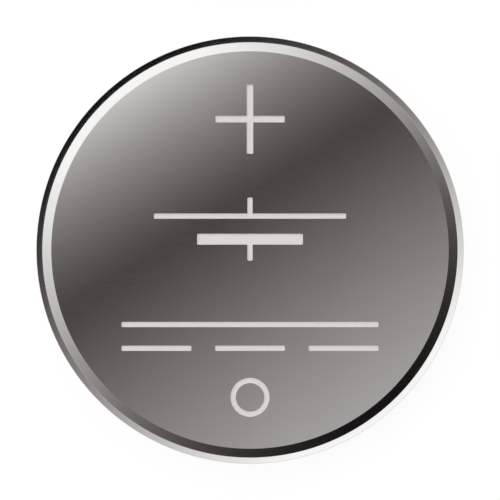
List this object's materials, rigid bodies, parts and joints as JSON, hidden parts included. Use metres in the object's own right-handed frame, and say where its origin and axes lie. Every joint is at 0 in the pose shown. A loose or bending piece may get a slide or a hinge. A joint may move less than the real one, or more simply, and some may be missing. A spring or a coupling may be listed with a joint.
{
  "type": "lithium coin cell",
  "caption": "Round flat coin cell: a drawn steel can, the positive pole, crimped over a stepped steel cap with a plastic gasket between the two and the cell stack sealed inside.",
  "frame": {"origin": "centre of the negative cap's flat, on the surface that the cell lies on", "axes": "+Z along the cell's axis, out of the positive face; +Y from the centre of the face to the plus sign; +X to the right when the face is read"},
  "size_m": [0.02, 0.02, 0.0032],
  "materials": {
    "can_steel": "nickel-plated stainless sheet, satin, with fine drawn grain",
    "collector_steel": "expanded stainless mesh, bare",
    "cathode_mix": "pressed black oxide powder, matt and granular",
    "separator_mat": "white nonwoven polypropylene, matt",
    "lithium_foil": "rolled lithium foil, soft satin",
    "gasket_plastic": "moulded natural polypropylene, milky",
    "cap_steel": "stainless sheet, satin"
  },
  "bodies": {
    "root": {"positive_can": "can_steel", "cathode_collector": "collector_steel", "cathode_pellet": "cathode_mix", "separator": "separator_mat", "lithium_anode": "lithium_foil", "gasket": "gasket_plastic", "negative_cap": "cap_steel"}
  },
  "joints": []
}
